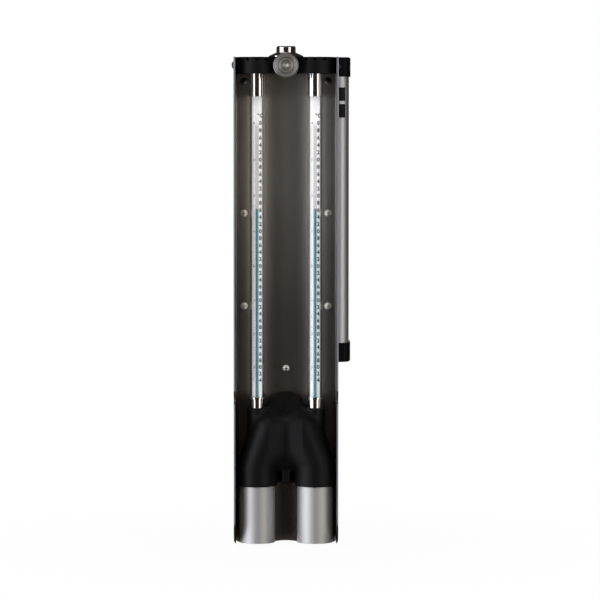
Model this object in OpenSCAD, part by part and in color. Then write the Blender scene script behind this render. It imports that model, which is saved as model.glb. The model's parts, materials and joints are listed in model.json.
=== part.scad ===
// Aspirated psychrometer: two thermometers stand in a folded steel channel, with a double
// radiation shield round each bulb. A moulded manifold leads the air from both shields
// through the channel's plate, and a battery-driven blower behind the plate draws it up.
// +Z is up and the front faces -Y. The origin is the mouth of the suspension thread.
// The thermometers and the suspension stud stand in the plane y = 0.

/* [Channel] */
// Outer width of the channel
body_w = 82.6; // [82:0.1:92]
// Height of the channel
body_h = 387; // [378:0.1:410]
// Depth from the walls' front edges to the back of the plate
channel_depth = 36.5; // [35:0.1:44]
// Thickness of the steel sheet
sheet = 1.5; // [1:0.1:2]
// Inner radius of the two folds
fold_r = 1; // [0.5:0.1:2]
// Radius of each wall's lower front corner
wall_corner_r = 21.5; // [8:0.5:24]
// Radius of the plate's lower corners
plate_corner_r = 5; // [3:0.5:12]
// Width of the round bite in each wall's front edge
bite_w = 10.2; // [8.2:0.1:16]
// Depth of that bite
bite_depth = 4; // [1.5:0.1:4]
// Height of the bite's middle above the manifold's collars
bite_rise = 8.9; // [8:0.1:12]
// Width of the shallow arch in the plate's lower edge
arch_w = 24; // [10:0.5:30]
// Rise of that arch
arch_rise = 1.6; // [0.4:0.1:3]

/* [Suspension stud and thumbscrew] */
// Radius of the stud's head
head_r = 7.6; // [6:0.1:9]
// Height of the stud's head
head_h = 5; // [4:0.1:8]
// Radius of the cone flange where it meets the bracket
flange_r = 13.6; // [11:0.1:14]
// Height of the cone flange
flange_h = 3.6; // [2.4:0.1:5]
// Radius of the stud's shank
shank_r = 4; // [3.6:0.1:4.5]
// Core radius of the suspension thread, M6
thread_r = 2.5; // [2:0.05:3]
// Depth of the suspension thread
thread_depth = 11; // [8:0.5:14]
// Radius of the thumbscrew's disc
knob_r = 10; // [8:0.1:11]
// Thickness of the thumbscrew's disc
knob_t = 7.8; // [5:0.1:10]
// Drop from the channel's top to the thumbscrew's axis
knob_drop = 6.7; // [6:0.1:7]
// Radius of the thumbscrew's threaded shank
knob_shank_r = 2.5; // [2:0.1:2.7]

/* [Thermometers] */
// Radius of the glass sheath
glass_r = 5.8; // [5:0.05:5.9]
// Wall of the glass sheath
glass_wall = 0.8; // [0.6:0.1:0.9]
// Wall of the top ferrule
ferrule_wall = 0.35; // [0.3:0.05:0.6]
// Length of the top ferrule below the bracket
ferrule_show = 18; // [12:0.1:24]
// Length of the top ferrule inside the bracket
ferrule_seat = 9; // [6:0.1:9.4]
// Radius of the lower ferrule
lower_ferrule_r = 5.6; // [5:0.1:5.8]
// Length of the lower ferrule above the collar
lower_ferrule_show = 7.8; // [6:0.1:10]
// Width of the white scale strip
scale_w = 8; // [6:0.1:8.6]
// Thickness of the white scale strip
scale_t = 1; // [0.8:0.1:1.3]
// Radius of the capillary
capillary_r = 1.4; // [1.2:0.1:1.5]
// Radius of the liquid thread
thread_liquid_r = 0.85; // [0.5:0.05:0.9]
// Radius of the stem below the scale
stem_r = 3; // [2.4:0.1:3.2]
// Radius of the bulb
bulb_r = 3.3; // [3.2:0.1:3.6]
// Length of the bulb
bulb_l = 15; // [10:0.5:20]
// Drop from the top ferrule's end to the capillary's top
capillary_drop = 21.4; // [12:0.1:30]
// Length of the liquid thread above the lower ferrule, which sets the reading
reading_h = 149.6; // [20:0.1:210]

/* [Bracket and manifold] */
// Height of the top bracket
bracket_h = 13; // [12.8:0.1:18]
// Width of a notch in a lobe's rim
notch_w = 3.5; // [2:0.1:4.5]
// Depth of a notch in a lobe's rim
notch_depth = 3.2; // [2.6:0.1:3.6]
// Angle between two notches of a lobe
notch_step = 26; // [18:1:34]
// Height of the manifold, from the collars' top to the sockets' lower rim
manifold_h = 62.8; // [60:0.1:66]
// Height of the sockets' straight rim
socket_h = 16.5; // [15:0.1:20]
// Wall of the sockets outside the shield tube
socket_wall = 2.05; // [2:0.05:4]
// Gap between a socket and the channel's side wall
socket_side_gap = 0.65; // [0.3:0.05:2]
// Gap between a socket and the channel's plate
socket_back_gap = 0.8; // [0.1:0.05:1]
// Radius of the collars round the thermometers
collar_r = 8.05; // [7.8:0.05:10.5]
// Height of a collar, down to its end inside the leg
collar_h = 26.1; // [26:0.1:30]
// Height of the shoulder between a collar and the middle
shoulder_h = 15; // [14:0.1:18]
// Radius of a leg at its elbow
elbow_r = 16.3; // [15.5:0.1:16.6]
// Distance from the middle to an elbow's centre
elbow_out = 11.4; // [10:0.1:13]
// Drop from the collars' top to the elbow
elbow_drop = 14.1; // [12:0.1:18]
// Radius that rounds an elbow's upper edge
elbow_round = 9; // [6:0.1:11]
// Radius of a leg's inner side at the crotch
crotch_r = 12.5; // [11:0.1:13.5]
// Distance from the middle to the centre of that inner side
crotch_out = 10; // [9:0.1:11]
// Radius of the port in the plate
port_r = 16.3; // [14:0.1:17]
// Drop from the collars' top to the port's axis
port_drop = 4.9; // [3:0.1:8]
// Thickness of the web between the sockets
web_t = 7.2; // [6:0.1:9]

/* [Radiation shields] */
// Outer radius of the shield tubes
shield_r = 14.15; // [13.8:0.05:14.4]
// Wall of the outer shield tubes
shield_wall = 1.2; // [0.8:0.1:1.5]
// Height of the shield tubes' lower ends above the channel's lower edge
shield_lift = 2.4; // [0.1:0.1:3]
// Length of a shield tube below its socket
shield_show = 44.5; // [40:0.1:50]
// Length of a shield tube inside its socket
shield_seat = 11.7; // [9:0.1:13]
// Outer radius of the inner shields
inner_shield_r = 9.5; // [8.6:0.1:10]
// Wall of the inner shields
inner_shield_wall = 0.8; // [0.6:0.1:1.2]
// Height of a spacer ring
spacer_h = 4; // [3:0.1:6]

/* [Casing] */
// How far the casing's hidden left side lies inside the channel's left side
case_inset = 1.9; // [1:0.1:2]
// Depth of the casing
case_depth = 40; // [40:0.1:48]
// Height of the casing's lower end above the port in the plate
case_gap = 23.2; // [20:0.1:26]
// How far the casing stands out beyond the channel's right wall
case_overhang = 8.9; // [8.4:0.1:10]
// Radius of the casing's front right corner
front_corner_r = 8; // [7.6:0.1:9]
// Radius of the casing's three other corners
case_corner_r = 3; // [2.5:0.1:3.2]
// Wall of the casing
case_wall = 2; // [1.8:0.1:2.2]
// Height of the top cap
top_cap_h = 15.4; // [14:0.1:17]
// Height of the bottom cap
bottom_cap_h = 15.3; // [14:0.1:18]
// How far the caps stand out beyond the extrusion
cap_lip = 1.2; // [0.6:0.1:1.5]
// Width of the visible part of a key
key_w = 4.7; // [4:0.1:4.8]
// Height of a key
key_h = 10.3; // [8:0.1:11]
// Gap between the two keys
key_gap = 3; // [2.6:0.1:4]
// Drop from the casing's upper end to the upper key
key_drop = 8.8; // [8:0.1:12]
// Travel of a key
key_travel = 1.2; // [0.6:0.1:1.3]

/* [Blower and batteries] */
// Outer radius of the blower wheel
wheel_r = 23; // [20:0.1:23.5]
// Drop from the casing's upper end to the blower's axis
blower_drop = 46; // [42:0.1:52]
// Gap behind the blower, for the leads
blower_gap = 3.6; // [3:0.1:4.5]
// Number of blades
blade_count = 20; // [12:1:24]
// Radius of the blower's inlet
eye_r = 12.5; // [10:0.1:13]
// Radius of the blower shaft
shaft_r = 1; // [0.8:0.1:1.5]
// Radius of the motor
motor_r = 9.3; // [8:0.1:9.6]
// Radius of an AA cell
cell_r = 7.2; // [7:0.05:7.2]
// Length of an AA cell with its contact
cell_l = 50.5; // [49:0.1:51]
// Wall of the air ducts
duct_wall = 1.5; // [1.2:0.1:1.8]
// Outer depth of the air duct in the casing
duct_depth = 12; // [10:0.1:12]
// Outer width of the air duct in the casing
duct_w = 32; // [28:0.1:34]

/* [Screws and fits] */
// Radius of the plate screws' shanks, M3
screw_r = 1.5; // [1.2:0.05:1.6]
// Radius of the plate screws' heads
screw_head_r = 3; // [2.6:0.1:3.4]
// Height of the plate screws' heads
screw_head_h = 2; // [1.6:0.1:2.4]
// Distance from a column of plate screws to the channel's side
screw_inset = 7.9; // [7.5:0.1:11]
// Drop from the channel's top to the top row of plate screws
top_row_drop = 18.9; // [18:0.1:30]
// Drop from the channel's top to the middle row
middle_row_drop = 123.7; // [60:0.1:150]
// Height of the lower row above the extrusion's lower end
lower_row_rise = 29.6; // [20:0.1:50]
// Distance from the casing's lower end down to the single screw
middle_screw_gap = 5; // [4:0.1:7]
// Radial clearance of parts that turn or slide in each other
running_gap = 0.05; // [0.02:0.01:0.1]
// Radial clearance of a shield tube in its socket
shield_gap = 0.1; // [0.05:0.01:0.12]
// Clearance between pieces that don't touch
clearance = 0.3; // [0.25:0.05:0.4]

/* [Hidden] */
$fn = 64;
hull_fn = 60;
eps = 0.01;
skin = 0.05;
over = 1;

// Places across and in depth
socket_r = shield_r + socket_wall;
plate_y = socket_r + socket_back_gap;
plate_back = plate_y + sheet;
front_y = plate_back - channel_depth;
inner_half = body_w / 2 - sheet;
thermo_x = inner_half - socket_side_gap - socket_r;
screw_x = body_w / 2 - screw_inset;

// Levels
top_z = -(head_h + flange_h);
bottom_z = top_z - body_h;
bracket_z = top_z - bracket_h;
ferrule_end_z = bracket_z - ferrule_show;
knob_z = top_z - knob_drop;
shield_end_z = bottom_z + shield_lift;
socket_end_z = shield_end_z + shield_show;
socket_top_z = socket_end_z + socket_h;
shield_top_z = socket_end_z + shield_seat;
collar_z = socket_end_z + manifold_h;
collar_end_z = collar_z - collar_h;
elbow_z = collar_z - elbow_drop;
port_z = collar_z - port_drop;
glass_end_z = collar_z + lower_ferrule_show;
bite_z = collar_z + bite_rise;

// Stud and thumbscrew
groove_r = shank_r - 0.8;
groove_h = 2 * knob_shank_r + 1;
knob_back_y = -flange_r - 0.6;
boss_r = shank_r + 4.5;
neck_r = knob_shank_r + 2;
side_screw_y = 8;
side_screw_z = top_z - 6.3;
side_screw_l = 7;

// Depth that each kind of screw bites into its seat
plate_bite = 3.5;
duct_bite = 5.5;
manifold_bite = 7;
insert_h = 4;

// Thermometers
ferrule_r = glass_r + ferrule_wall + running_gap;
ferrule_top_z = bracket_z + ferrule_seat;
glass_top_z = ferrule_end_z + 14;
lip_r = glass_r + 0.7;
lip_h = 1.2;
lower_ferrule_end = collar_z - 5;
seal_r = collar_r - 1.4;
seal_h = 4;
bulb_end_z = shield_end_z + 17;
bulb_top_z = bulb_end_z + bulb_l;
capillary_top_z = ferrule_end_z - capillary_drop;
bore_gap = 0.05;

// Manifold
spigot_r = port_r - 0.8;
port_rim = 2.5;
manifold_wall = 2.4;
duct_seat_y = plate_back + duct_wall;
web_z = socket_top_z - 5;
web_front = -3;
web_wall_y = 9;
crotch_z = web_z + 11;
crotch_half = thermo_x - socket_r + 4.6;
ring_section_r = 0.5;
ring_centre_r = shield_r + ring_section_r + 0.02;
ring_z = socket_end_z + shield_seat / 2;
screw_low_z = web_z - 3.5;
screw_high_z = web_z + 11;

// Casing
case_front = plate_back;
case_back = case_front + case_depth;
case_right = body_w / 2 + case_overhang;
case_left = case_inset - body_w / 2;
case_w = case_right - case_left;
case_top_z = top_z + clearance - top_cap_h;
cap_end_z = port_z + port_r + case_gap;
case_bottom_z = cap_end_z + bottom_cap_h;
screw_rows = [top_z - top_row_drop, top_z - middle_row_drop, case_bottom_z + lower_row_rise];
middle_screw_z = cap_end_z - middle_screw_gap;
door_skin = 1;
slot_gap = 0.15;
case_inner_back = case_back - 2 * (door_skin + slot_gap) - case_wall;
cap_wall = 2;
plug_h = 2.5;
plug_wall = 1.5;
duct_front = case_front + case_wall + clearance;
duct_back = duct_front + duct_depth;

// Keys
key_left = case_right - front_corner_r + 0.1;
key_right = key_left + key_w;
key_proud = 0.3;
key_flange = 1.2;
key_flange_y = case_front + case_wall + 2.8;
key_flange_t = 1.7;
key_end_y = key_flange_y + key_flange_t + 2.2;
key_on_z = case_top_z - key_drop - key_h / 2;
key_off_z = key_on_z - key_h - key_gap;
block_front = key_end_y + key_travel + 0.5;
block_back = duct_back - clearance;

// Blower
cover_t = 1.5;
blower_z = case_top_z - blower_drop;
blower_front = duct_back + cover_t;
wheel_front = blower_front + 0.8;
wheel_plate_t = 1.5;
housing_back = case_inner_back - blower_gap;
scroll_back = housing_back - duct_wall;
wheel_back = scroll_back - 1;
blade_w = wheel_back - wheel_plate_t - wheel_front;
blade_in_r = wheel_r - 7.5;
cup_r = motor_r + 2.2;
cup_front = wheel_front + 2;
motor_front = cup_front + 2;
scroll_start_r = wheel_r + 2.5;
scroll_end_r = wheel_r + 11.5;
tongue_angle = 50;
outlet_left = wheel_r * 0.75;
outlet_top_z = case_top_z - plug_h - 0.5;

// Batteries
cell_pitch = 2 * cell_r + 0.3;
bay_x = case_left + case_wall + 2 * cell_pitch + 1.6;
bay_half = 2 * cell_pitch + 0.2;
holder_wall = 1.2;
holder_front = case_inner_back - 2 * cell_r - 2.4;
cell_y = holder_front + holder_wall + cell_r + 0.2;
bay_h = cell_l + 3.5;
bay_top_z = blower_z - scroll_end_r - 9;
bay_bottom_z = bay_top_z - bay_h;
contact_t = 0.4;
door_half = bay_half - 1.6;
door_tongue = 1.2;
door_top_z = bay_top_z + 3.5;
door_bottom_z = bay_bottom_z - 3.5;

// Leads
lead_r = 0.7;
lead_y = (housing_back + case_inner_back) / 2;
lead_x = scroll_end_r + duct_wall + 4;
lead_end_x = bay_x + bay_half - 2;
lead_turn_z = bay_top_z + 8;
lead_pitch = 5;

// Two-dimensional helpers

// A sheet of the front view, between two depths
module slab(y0, y1) {
    translate([0, y1, 0]) rotate([90, 0, 0]) linear_extrude(y1 - y0) children();
}

// A sheet of the side view, between two places across
module wing(x0, x1) {
    translate([x0, 0, 0]) rotate([90, 0, 90]) linear_extrude(x1 - x0) children();
}

module rod_y(r, y0, y1) {
    translate([0, y0, 0]) rotate([-90, 0, 0]) cylinder(r = r, h = y1 - y0);
}

module rod_x(r, x0, x1) {
    translate([x0, 0, 0]) rotate([0, 90, 0]) cylinder(r = r, h = x1 - x0);
}

module rod_z(r, z0, z1) {
    translate([0, 0, z0]) cylinder(r = r, h = z1 - z0);
}

module tube_z(r, bore, z0, z1) {
    difference() {
        rod_z(r, z0, z1);
        rod_z(bore, z0 - over, z1 + over);
    }
}

module box(x0, x1, y0, y1, z0, z1) {
    translate([x0, y0, z0]) cube([x1 - x0, y1 - y0, z1 - z0]);
}

// The centres and radii of the casing's corners, grown all round; the seen one is the last
function case_corners(grow) =
    let (r = max(case_corner_r + grow, 0.2), rf = front_corner_r + grow,
        x0 = case_left - grow, x1 = case_right + grow, y0 = case_front - grow, y1 = case_back + grow)
    [[x0 + r, y0 + r, r], [x0 + r, y1 - r, r], [x1 - r, y1 - r, r], [x1 - rf, y0 + rf, rf]];

module case_outline(grow) {
    corners = case_corners(grow);
    low = corners[0];
    high = corners[2];
    seen = corners[3];
    for (c = corners) translate([c[0], c[1]]) circle(c[2]);
    translate([low[0], low[1] - low[2]]) square([seen[0] - low[0], high[1] + high[2] - low[1] + low[2]]);
    translate([low[0] - low[2], low[1]]) square([seen[0] - low[0] + low[2], high[1] - low[1]]);
    translate([low[0], seen[1]]) square([high[0] - low[0], high[1] + high[2] - seen[1]]);
    translate([low[0], seen[1]]) square([high[0] + high[2] - low[0], high[1] - seen[1]]);
}

// The hollow of the extrusion
module case_hollow(shrink) {
    intersection() {
        case_outline(-case_wall - shrink);
        translate([case_left, case_front]) square([case_w, case_inner_back - shrink - case_front]);
    }
}

// Screws

module pan_head(r, h) {
    dome_r = (r * r + h * h) / (2 * h) + 0.6;
    difference() {
        intersection() {
            cylinder(r = r, h = h);
            translate([0, 0, h - dome_r]) sphere(dome_r);
        }
        for (a = [0, 90]) rotate([0, 0, a]) translate([-0.62 * r, -0.3, 0.5 * h]) cube([1.24 * r, 0.6, h]);
    }
}

// A screw whose head sits on z = 0 and whose shank points down
module pan_screw(shank_l) {
    pan_head(screw_head_r, screw_head_h);
    translate([0, 0, -shank_l]) cylinder(r = screw_r, h = shank_l + eps);
}

// Channel

module u_outline(half, front, back, r) {
    translate([-half, front]) square([2 * half, back - front - r]);
    translate([-half + r, front]) square([2 * half - 2 * r, back - front]);
    for (s = [-1, 1]) translate([s * (half - r), back - r]) circle(r);
}

module wall_corner_cut() {
    difference() {
        translate([front_y - over, bottom_z - over]) square([wall_corner_r + over, wall_corner_r + over]);
        translate([front_y + wall_corner_r, bottom_z + wall_corner_r]) circle(wall_corner_r);
    }
}

module plate_corner_cut() {
    for (s = [-1, 1]) difference() {
        translate([s * (body_w / 2 + over / 2 - plate_corner_r / 2), bottom_z + plate_corner_r / 2 - over / 2])
            square([plate_corner_r + over, plate_corner_r + over], center = true);
        translate([s * (body_w / 2 - plate_corner_r), bottom_z + plate_corner_r]) circle(plate_corner_r);
    }
}

module screw_places() {
    for (z = screw_rows, s = [-1, 1]) translate([s * screw_x, 0, z]) children();
}

module middle_place() {
    translate([0, 0, middle_screw_z]) children();
}

module channel() {
    bite_r = (bite_w * bite_w / 4 + bite_depth * bite_depth) / (2 * bite_depth);
    arch_r = (arch_w * arch_w / 4 + arch_rise * arch_rise) / (2 * arch_rise);
    color([0.56, 0.54, 0.52]) difference() {
        translate([0, 0, bottom_z]) linear_extrude(body_h) difference() {
            u_outline(body_w / 2, front_y, plate_back, fold_r + sheet);
            translate([0, -over]) u_outline(inner_half, front_y, plate_y + over, fold_r);
        }
        wing(-body_w, body_w) wall_corner_cut();
        slab(front_y - over, plate_back + over) plate_corner_cut();
        translate([0, front_y + bite_depth - bite_r, bite_z]) rod_x(bite_r, -body_w, body_w);
        translate([0, 0, bottom_z + arch_rise - arch_r]) rod_y(arch_r, plate_y - over, plate_back + over);
        screw_places() rod_y(screw_r + running_gap, plate_y - over, plate_back + over);
        middle_place() rod_y(screw_r + running_gap, plate_y - over, plate_back + over);
        translate([0, 0, port_z]) rod_y(spigot_r + running_gap, plate_y - over, plate_back + over);
        for (z = [screw_low_z, screw_high_z])
            translate([0, 0, z]) rod_y(screw_r + running_gap, plate_y - over, plate_back + over);
        translate([0, side_screw_y, side_screw_z]) rod_x(screw_r + running_gap, -body_w, body_w);
    }
}

// Top bracket, stud and thumbscrew

module lobe_notches() {
    for (a = [-notch_step, 0, notch_step]) rotate([0, 0, a]) {
        translate([0, 0, top_z - notch_depth + notch_w / 2]) rod_y(notch_w / 2, -socket_r - over, -socket_r + 3);
        box(-notch_w / 2, notch_w / 2, -socket_r - over, -socket_r + 3,
            top_z - notch_depth + notch_w / 2, top_z + over);
    }
}

module top_bracket() {
    color([0.1, 0.1, 0.11]) difference() {
        translate([0, 0, bracket_z]) linear_extrude(bracket_h) {
            translate([-inner_half, 0]) square([2 * inner_half, plate_y]);
            for (s = [-1, 1]) translate([s * thermo_x, 0]) circle(socket_r);
            circle(boss_r);
        }
        for (s = [-1, 1]) translate([s * thermo_x, 0, 0]) {
            rod_z(ferrule_r + running_gap, bracket_z - over, ferrule_top_z);
            lobe_notches();
        }
        rod_z(shank_r + running_gap, bracket_z - over, top_z + over);
        translate([0, 0, knob_z]) rod_y(knob_shank_r + running_gap, -boss_r - over, 0);
        for (s = [-1, 1]) translate([0, side_screw_y, side_screw_z])
            rod_x(screw_r + running_gap, s * (inner_half - side_screw_l / 2) - side_screw_l / 2 - over,
                s * (inner_half - side_screw_l / 2) + side_screw_l / 2 + over);
    }
}

module bracket_screws() {
    color([0.78, 0.77, 0.74]) for (s = [-1, 1])
        translate([s * body_w / 2, side_screw_y, side_screw_z]) rotate([0, s * 90, 0]) pan_screw(side_screw_l);
}

module suspension_stud() {
    chamfer = 0.8;
    rim = 0.9;
    color([0.86, 0.86, 0.87]) difference() {
        rotate_extrude() polygon([
            [0, 0], [head_r - chamfer, 0], [head_r, -chamfer], [head_r, -head_h],
            [flange_r, rim - head_h - flange_h], [flange_r, top_z], [shank_r, top_z],
            [shank_r, knob_z + groove_h / 2], [groove_r, knob_z + groove_h / 2 - 0.8],
            [groove_r, knob_z - groove_h / 2 + 0.8], [shank_r, knob_z - groove_h / 2],
            [shank_r, bracket_z + 0.5], [0, bracket_z + 0.5]
        ]);
        rod_z(thread_r, -thread_depth, over);
    }
}

module thumbscrew() {
    edge = 0.7;
    dimple_r = 1.6;
    face = knob_back_y - knob_t;
    color([0.6, 0.6, 0.6]) translate([0, 0, knob_z]) rotate([-90, 0, 0]) rotate_extrude() polygon([
        [0, face + 0.8], [dimple_r, face], [knob_r - edge, face], [knob_r, face + edge],
        [knob_r, knob_back_y - edge], [knob_r - edge, knob_back_y], [neck_r, knob_back_y],
        [neck_r, -boss_r - clearance], [knob_shank_r, -boss_r - clearance],
        [knob_shank_r, -groove_r - clearance], [0, -groove_r - clearance]
    ]);
}

// Thermometers

module at_side(s) {
    translate([s * thermo_x, 0, 0]) children();
}

module ferrule_top(s) {
    color([0.86, 0.86, 0.87]) at_side(s) difference() {
        rod_z(ferrule_r, ferrule_end_z, ferrule_top_z);
        rod_z(glass_r + running_gap, ferrule_end_z - over, glass_top_z + clearance);
    }
}

module sheath(s) {
    color([0.85, 0.9, 0.92, 0.4]) at_side(s) tube_z(glass_r, glass_r - glass_wall, glass_end_z, glass_top_z);
}

module scale_strip(s) {
    top = ferrule_end_z + 3;
    color([0.94, 0.94, 0.93]) at_side(s)
        box(-scale_w / 2, scale_w / 2, capillary_r + bore_gap, capillary_r + bore_gap + scale_t, glass_end_z + eps, top);
}

module capillary(s) {
    bore = thread_liquid_r + bore_gap;
    shoulder = lower_ferrule_end + 4;
    color([0.88, 0.9, 0.93, 0.5]) at_side(s) difference() {
        union() {
            rod_z(capillary_r, shoulder, capillary_top_z);
            rod_z(stem_r, bulb_top_z - 1, shoulder);
            rod_z(bulb_r, bulb_end_z + bulb_r, bulb_top_z - bulb_r);
            for (z = [bulb_end_z + bulb_r, bulb_top_z - bulb_r]) translate([0, 0, z]) sphere(bulb_r);
        }
        rod_z(bore, bulb_top_z - bulb_r, capillary_top_z - 2);
        rod_z(bulb_r - 0.6, bulb_end_z + bulb_r, bulb_top_z - bulb_r);
    }
}

module liquid(s) {
    top = glass_end_z + reading_h;
    color([0.1, 0.6, 0.68]) at_side(s) {
        rod_z(thread_liquid_r, bulb_top_z - bulb_r - 1, top);
        rod_z(bulb_r - 0.6 - bore_gap, bulb_end_z + bulb_r + bore_gap, bulb_top_z - bulb_r - bore_gap);
    }
}

module ferrule_bottom(s) {
    color([0.86, 0.86, 0.87]) at_side(s) difference() {
        union() {
            rod_z(lip_r, glass_end_z - lip_h, glass_end_z + 0.3);
            rod_z(lower_ferrule_r, lower_ferrule_end, glass_end_z - lip_h + eps);
        }
        rod_z(stem_r + running_gap, lower_ferrule_end - over, glass_end_z - lip_h);
        rod_z(glass_r + running_gap, glass_end_z, glass_end_z + over);
        rod_z(capillary_r + 1, glass_end_z - lip_h - over, glass_end_z + over);
    }
}

module collar_seal(s) {
    color([0.12, 0.12, 0.12]) at_side(s)
        tube_z(seal_r, lower_ferrule_r + running_gap, collar_z - seal_h - 0.3, collar_z - 0.3);
}

module wick() {
    wall = 0.9;
    color([0.93, 0.92, 0.88]) at_side(1) difference() {
        union() {
            rod_z(bulb_r + 0.05 + wall, bulb_end_z + bulb_r, bulb_top_z + 6);
            translate([0, 0, bulb_end_z + bulb_r]) sphere(bulb_r + 0.05 + wall);
        }
        rod_z(bulb_r + 0.05, bulb_end_z + bulb_r, bulb_top_z + 6 + over);
        translate([0, 0, bulb_end_z + bulb_r]) sphere(bulb_r + 0.05);
    }
}

// Manifold

// One leg of the duct, from the port over its elbow to the socket, drawn in by a wall. It ends
// just inside the round of the port and just takes in the round of the socket.
module leg(s, wall) {
    hull() {
        translate([0, 0, port_z]) rod_y(port_r - wall - skin, plate_y - port_rim, plate_y - skin, $fn = hull_fn);
        for (a = [0, 30, 60]) translate([s * elbow_out, 0, elbow_z + elbow_round * sin(a)])
            cylinder(r = elbow_r - elbow_round * (1 - cos(a)) - wall, h = 0.5, $fn = hull_fn);
        translate([s * crotch_out, 0, crotch_z]) cylinder(r = crotch_r - wall, h = 1, $fn = hull_fn);
        translate([s * thermo_x, 0, socket_top_z])
            cylinder(r = (socket_r - wall) / cos(180 / hull_fn) + skin / 2, h = 1, $fn = hull_fn);
    }
}

// The shoulder runs from a collar back and inwards, to meet the sloping leg
module shoulder_outline(s) {
    reach = [thermo_x - 5.5, plate_y - collar_r - 1.5];
    half = collar_r - skin;
    translate([s * (thermo_x - reach[0]), reach[1]]) circle(collar_r);
    translate([s * thermo_x, 0]) rotate(s > 0 ? 180 - atan2(reach[1], reach[0]) : atan2(reach[1], reach[0]))
        translate([0, -half]) square([norm(reach), 2 * half]);
}

module web_outline() {
    arch_z = web_z + 4;
    polygon([
        [-web_t / 2, socket_end_z + 2], [web_t / 2, socket_end_z + 2], [web_t / 2, web_z],
        [crotch_half, arch_z], [crotch_half, arch_z + 16], [-crotch_half, arch_z + 16],
        [-crotch_half, arch_z], [-web_t / 2, web_z]
    ]);
}

module manifold() {
    wall = manifold_wall;
    color([0.1, 0.1, 0.11]) difference() {
        union() {
            for (s = [-1, 1]) {
                leg(s, 0);
                translate([0, 0, collar_z - shoulder_h]) linear_extrude(shoulder_h) shoulder_outline(s);
                at_side(s) {
                    rod_z(collar_r, collar_end_z, collar_z);
                    rod_z(socket_r, socket_end_z, socket_top_z + 0.5);
                }
            }
            slab(web_front, plate_y) web_outline();
            box(-crotch_half, crotch_half, web_wall_y, plate_y, socket_end_z + 2, web_z + 1);
            translate([0, 0, port_z]) {
                rod_y(port_r, plate_y - port_rim, plate_y);
                rod_y(spigot_r, plate_y - over, duct_seat_y);
            }
        }
        for (s = [-1, 1]) {
            leg(s, wall);
            at_side(s) {
                rod_z(socket_r - wall, shield_top_z - eps, socket_top_z + 0.5);
                rod_z(shield_r + shield_gap, socket_end_z - over, shield_top_z + clearance);
                rod_z(lower_ferrule_r + running_gap, collar_end_z, collar_z + over);
                rod_z(seal_r + running_gap, collar_z - seal_h - 0.3, collar_z + over);
                translate([0, 0, ring_z]) tube_z(ring_centre_r + ring_section_r + bore_gap, shield_r, -1, 1);
            }
        }
        translate([0, 0, port_z]) rod_y(port_r - wall, plate_y - port_rim - 0.5, duct_seat_y + over);
        for (z = [screw_low_z, screw_high_z]) translate([0, 0, z]) rod_y(screw_r, plate_y - manifold_bite - 1, plate_y + over);
    }
}

module manifold_screws() {
    color([0.78, 0.77, 0.74]) for (z = [screw_low_z, screw_high_z])
        translate([0, plate_back, z]) rotate([-90, 0, 0]) pan_screw(sheet + manifold_bite);
}

module socket_ring(s) {
    color([0.12, 0.12, 0.12]) at_side(s) translate([0, 0, ring_z])
        rotate_extrude() translate([ring_centre_r, 0]) circle(ring_section_r, $fn = 24);
}

// Radiation shields

module shield_outer(s) {
    color([0.72, 0.72, 0.71]) at_side(s) tube_z(shield_r, shield_r - shield_wall, shield_end_z, shield_top_z);
}

module shield_inner(s) {
    color([0.8, 0.8, 0.8]) at_side(s)
        tube_z(inner_shield_r, inner_shield_r - inner_shield_wall, shield_end_z + 4, shield_top_z - 4);
}

module spacer_ring() {
    ring = 1;
    outer = shield_r - shield_wall;
    linear_extrude(spacer_h) {
        difference() {
            circle(outer);
            circle(outer - ring);
        }
        difference() {
            circle(inner_shield_r + ring);
            circle(inner_shield_r);
        }
        for (a = [90, 210, 330]) rotate(a) translate([inner_shield_r + ring / 2, -0.8])
            square([outer - inner_shield_r - ring, 1.6]);
    }
}

module shield_spacer(s) {
    color([0.2, 0.2, 0.2]) at_side(s)
        for (z = [shield_end_z + 8, shield_top_z - 8 - spacer_h]) translate([0, 0, z]) spacer_ring();
}

// Casing

module plate_screws() {
    color([0.72, 0.7, 0.64]) {
        screw_places() translate([0, plate_y, 0]) rotate([90, 0, 0]) pan_screw(sheet + case_wall + plate_bite);
        middle_place() translate([0, plate_y, 0]) rotate([90, 0, 0]) pan_screw(sheet + duct_bite);
    }
}

module screw_inserts() {
    insert_r = screw_r + 1.4;
    color([0.8, 0.66, 0.35]) screw_places() difference() {
        rod_y(insert_r, case_front + case_wall, case_front + case_wall + insert_h);
        rod_y(screw_r + running_gap, case_front, case_front + case_wall + insert_h + over);
    }
}

module key_window(z, gap) {
    box(key_left - gap, key_right + gap, case_front - over, case_front + front_corner_r,
        z - key_h / 2 - gap, z + key_h / 2 + gap);
}

module casing() {
    skin = door_skin + slot_gap;
    color([0.72, 0.72, 0.73]) difference() {
        translate([0, 0, case_bottom_z]) linear_extrude(case_top_z - case_bottom_z) difference() {
            case_outline(0);
            case_hollow(0);
            translate([bay_x - door_half - slot_gap, case_back - skin]) square([2 * (door_half + slot_gap), skin + over]);
            translate([bay_x - door_half - door_tongue - slot_gap, case_back - 2 * skin])
                square([2 * (door_half + door_tongue + slot_gap), skin]);
        }
        box(bay_x - door_half + 1, bay_x + door_half - 1, case_inner_back - over, case_back,
            bay_bottom_z - 2, bay_top_z + 2);
        screw_places() rod_y(screw_r + running_gap, case_front - over, case_front + case_wall + over);
        for (z = [key_on_z, key_off_z]) key_window(z, slot_gap);
    }
}

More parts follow.
